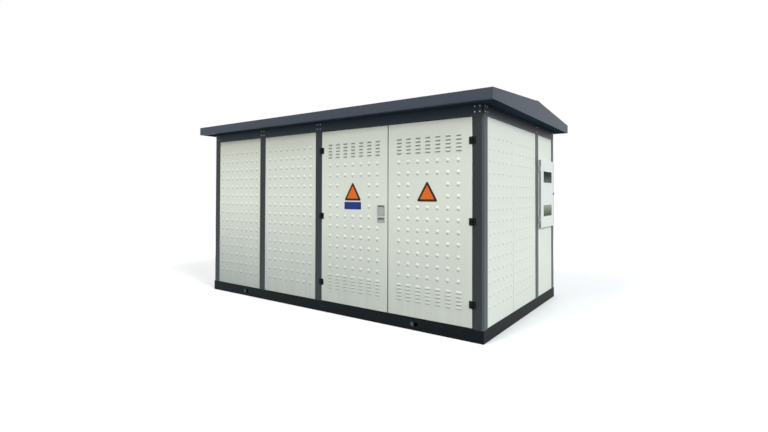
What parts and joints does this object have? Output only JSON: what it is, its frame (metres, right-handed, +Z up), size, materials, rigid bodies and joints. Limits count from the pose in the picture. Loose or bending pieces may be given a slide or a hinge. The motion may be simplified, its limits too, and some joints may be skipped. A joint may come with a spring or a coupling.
{
  "type": "unit substation transformer housing",
  "caption": "Walk-up housing of a compact box substation: channel base, posts, pressed panels, louvred double doors, meter box and low gable roof.",
  "frame": {"origin": "centre of the footprint at ground level, under the middle of the roof's outline", "axes": "+X along the length towards the end with the meter box, -Y out of the front with the double doors, +Z up"},
  "size_m": [4.288, 2.67, 2.368],
  "materials": {
    "frame_grey": "satin slate grey paint",
    "roof_grey": "satin slate grey paint",
    "panel_white": "semi-gloss off-white paint",
    "base_black": "matt black paint",
    "floor_grey": "worn grey floor paint",
    "hinge_black": "black powder coat",
    "lock_grey": "satin grey die casting",
    "meter_white": "semi-gloss pale grey paint",
    "window_glass": "clear glass, dark behind",
    "knob_dark": "dark satin"
  },
  "bodies": {
    "housing": {"base_front_channel": "base_black", "base_back_channel": "base_black", "base_left_channel": "base_black", "base_right_channel": "base_black", "base_cross_members": "base_black", "floor_plate": "floor_grey", "front_left_corner_post": "frame_grey", "front_right_corner_post": "frame_grey", "back_left_corner_post": "frame_grey", "back_right_corner_post": "frame_grey", "front_outer_post": "frame_grey", "front_door_post": "frame_grey", "back_outer_post": "frame_grey", "back_inner_post": "frame_grey", "right_end_post": "frame_grey", "left_end_post": "frame_grey", "front_top_rail": "frame_grey", "back_top_rail": "frame_grey", "left_top_rail": "frame_grey", "right_top_rail": "frame_grey", "front_outer_panel": "panel_white", "front_inner_panel": "panel_white", "back_panel_1": "panel_white", "back_panel_2": "panel_white", "back_panel_3": "panel_white", "back_panel_4": "panel_white", "left_front_panel": "panel_white", "left_middle_panel": "panel_white", "left_narrow_panel": "panel_white", "right_front_panel": "panel_white", "right_middle_panel": "panel_white", "right_meter_panel": "panel_white", "roof_front_sheet": "roof_grey", "roof_back_sheet": "roof_grey", "left_gable_plate": "roof_grey", "right_gable_plate": "roof_grey", "ceiling_panel": "roof_grey", "ridge_cap": "roof_grey", "door_stops": "frame_grey", "fixed_hinge_plates": "hinge_black", "meter_case": "meter_white"},
    "left_leaf": {"left_door_leaf": "panel_white", "left_hinge_leaves": "hinge_black", "door_lock": "lock_grey"},
    "right_leaf": {"right_door_leaf": "panel_white", "right_hinge_leaves": "hinge_black"},
    "meter_door": {"meter_door": "meter_white", "meter_window_panes": "window_glass", "meter_knob": "knob_dark"}
  },
  "joints": [
    {"name": "left_leaf_hinge", "type": "hinge", "parent": "housing", "child": "left_leaf", "pos_m": [0.037, -1.193, 1.09], "axis": [0, 0, -1], "range_deg": [0, 120]},
    {"name": "right_leaf_hinge", "type": "hinge", "parent": "housing", "child": "right_leaf", "pos_m": [1.893, -1.193, 1.09], "axis": [0, 0, 1], "range_deg": [0, 120]},
    {"name": "meter_door_hinge", "type": "hinge", "parent": "housing", "child": "meter_door", "pos_m": [2.0125, 0.51, 1.3535], "axis": [0, 0, -1], "range_deg": [0, 110]}
  ]
}
